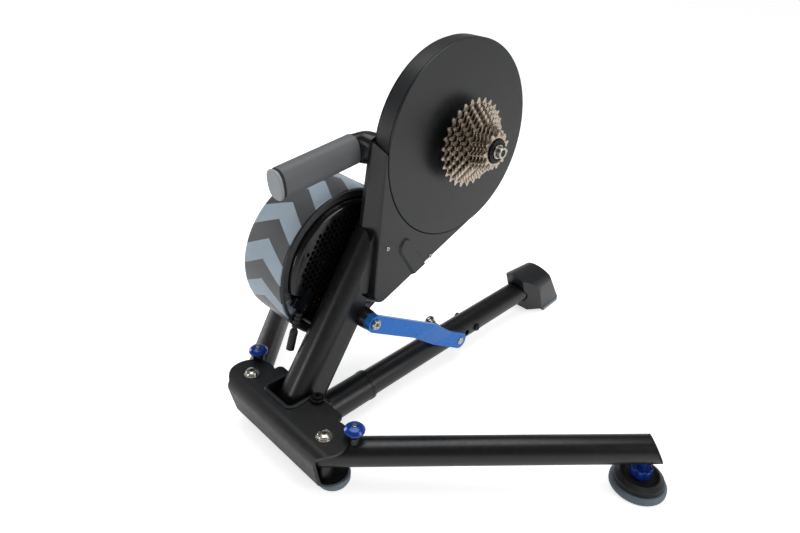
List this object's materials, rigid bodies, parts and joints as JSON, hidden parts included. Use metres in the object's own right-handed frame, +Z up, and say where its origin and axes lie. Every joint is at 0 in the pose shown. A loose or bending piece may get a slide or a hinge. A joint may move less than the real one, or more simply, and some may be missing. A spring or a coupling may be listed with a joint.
{
  "type": "direct drive bike trainer",
  "caption": "Direct drive indoor bike trainer: sprocket cassette on a round housing, leaning post with flywheel, carrying handle, folding legs and a wheel size link.",
  "frame": {"origin": "on the floor, at the middle of the bounding box's bottom face; X = 0 is the bike's middle plane", "axes": "+X towards the drive side, +Y forwards along the bike, +Z up"},
  "size_m": [0.7044, 0.5824, 0.4745],
  "materials": {
    "powder_coat": "satin black powder coat on steel",
    "cover_plastic": "satin dark grey moulded plastic",
    "gloss_plastic": "glossy black moulded plastic",
    "blue_coat": "bright satin blue coat on steel",
    "blue_plastic": "deep blue moulded plastic",
    "stainless": "machined stainless steel",
    "nickel": "warm nickel plated steel",
    "dark_steel": "dark coated steel",
    "foot_rubber": "matt blue grey rubber",
    "dark_rubber": "matt black rubber",
    "grip_rubber": "matt mid grey grip rubber",
    "cap_plastic": "matt light grey plastic",
    "drum_paint": "dark grey enamel with a printed chevron band",
    "copper": "laminated iron with copper coils"
  },
  "bodies": {
    "base": {"base_bracket": "powder_coat", "leg_bolt_right": "stainless", "leg_bolt_left": "stainless", "base_pad_right": "foot_rubber", "base_pad_left": "foot_rubber", "lock_bolt": "dark_steel", "post_pivot_bolt": "stainless", "leg_socket": "powder_coat", "centre_leg": "powder_coat", "leg_cross_bolt": "dark_steel", "front_foot": "cover_plastic", "front_foot_sole": "foot_rubber"},
    "right_leg": {"right_leg": "powder_coat", "right_leg_cap": "dark_rubber"},
    "left_leg": {"left_leg": "powder_coat", "left_leg_cap": "dark_rubber"},
    "right_pin": {"right_spring_pin": "stainless", "right_knob": "blue_plastic"},
    "left_pin": {"left_spring_pin": "stainless", "left_knob": "blue_plastic"},
    "right_foot": {"right_foot_nut": "blue_plastic", "right_foot_disc": "dark_steel", "right_foot_rubber": "foot_rubber"},
    "left_foot": {"left_foot_nut": "blue_plastic", "left_foot_disc": "dark_steel", "left_foot_rubber": "foot_rubber"},
    "body": {"post": "powder_coat", "link_screw": "stainless", "lower_cover": "cover_plastic", "cover_screw_rear": "stainless", "cover_screw_front": "stainless", "disc_cover": "cover_plastic", "frame_plate": "powder_coat", "left_cover": "cover_plastic", "axle": "dark_steel", "axle_end_cap": "stainless", "belt": "dark_rubber", "bearing_housing": "dark_steel", "brake_stator": "copper", "cover_ring": "cover_plastic", "vent_cover": "gloss_plastic", "cable_clip": "gloss_plastic", "handle_grip": "grip_rubber", "handle_cap": "cap_plastic", "handle_arm": "powder_coat", "cable_boot": "dark_rubber", "power_connector": "dark_rubber"},
    "cassette": {"large_pulley": "dark_steel", "freehub": "dark_steel", "cogs_large": "nickel", "cogs_middle": "nickel", "cogs_small": "nickel", "lockring": "dark_steel"},
    "flywheel": {"flywheel": "drum_paint", "flywheel_shaft": "stainless"},
    "link": {"link_arm": "blue_coat", "link_bush": "stainless"},
    "link_pin": {"cross_pin": "stainless", "cross_pin_knob": "stainless"}
  },
  "joints": [
    {"name": "body_tilt", "type": "hinge", "parent": "base", "child": "body", "pos_m": [-0.016, -0.23881, 0.038], "axis": [1, 0, 0], "range_deg": [-8, 4.5]},
    {"name": "link_swing", "type": "hinge", "parent": "body", "child": "link", "pos_m": [0.024, -0.14921, 0.1448], "axis": [1, 0, 0], "range_deg": [-7, 12.5]},
    {"name": "cassette_spin", "type": "hinge", "parent": "body", "child": "cassette", "pos_m": [0, 0.01459, 0.3442], "axis": [1, 0, 0], "continuous": true},
    {"name": "flywheel_spin", "type": "hinge", "parent": "body", "child": "flywheel", "pos_m": [-0.088, -0.13331, 0.1915], "axis": [1, 0, 0], "continuous": true},
    {"name": "right_leg_fold", "type": "hinge", "parent": "base", "child": "right_leg", "pos_m": [0.0716, -0.26481, 0.045], "axis": [0, 0, 1], "range_deg": [0, 41.9]},
    {"name": "left_leg_fold", "type": "hinge", "parent": "base", "child": "left_leg", "pos_m": [-0.0716, -0.26481, 0.045], "axis": [0, 0, 1], "range_deg": [-41.9, 0]},
    {"name": "right_pin_pull", "type": "slide", "parent": "right_leg", "child": "right_pin", "axis": [0, 0, 1], "range_m": [0, 0.008], "stiffness_N_per_m": 800, "springref_m": -0.004},
    {"name": "left_pin_pull", "type": "slide", "parent": "left_leg", "child": "left_pin", "axis": [0, 0, 1], "range_m": [0, 0.008], "stiffness_N_per_m": 800, "springref_m": -0.004},
    {"name": "link_pin_pull", "type": "slide", "parent": "base", "child": "link_pin", "axis": [-1, 0, 0], "range_m": [0, 0.05]},
    {"name": "right_foot_adjust", "type": "slide", "parent": "right_leg", "child": "right_foot", "axis": [0, 0, -1], "range_m": [0, 0.012]},
    {"name": "left_foot_adjust", "type": "slide", "parent": "left_leg", "child": "left_foot", "axis": [0, 0, -1], "range_m": [0, 0.012]}
  ],
  "couplings": [
    {"joint": "link_swing", "follows": "body_tilt", "ratio": -1.535},
    {"joint": "flywheel_spin", "follows": "cassette_spin", "ratio": 7.1304}
  ]
}
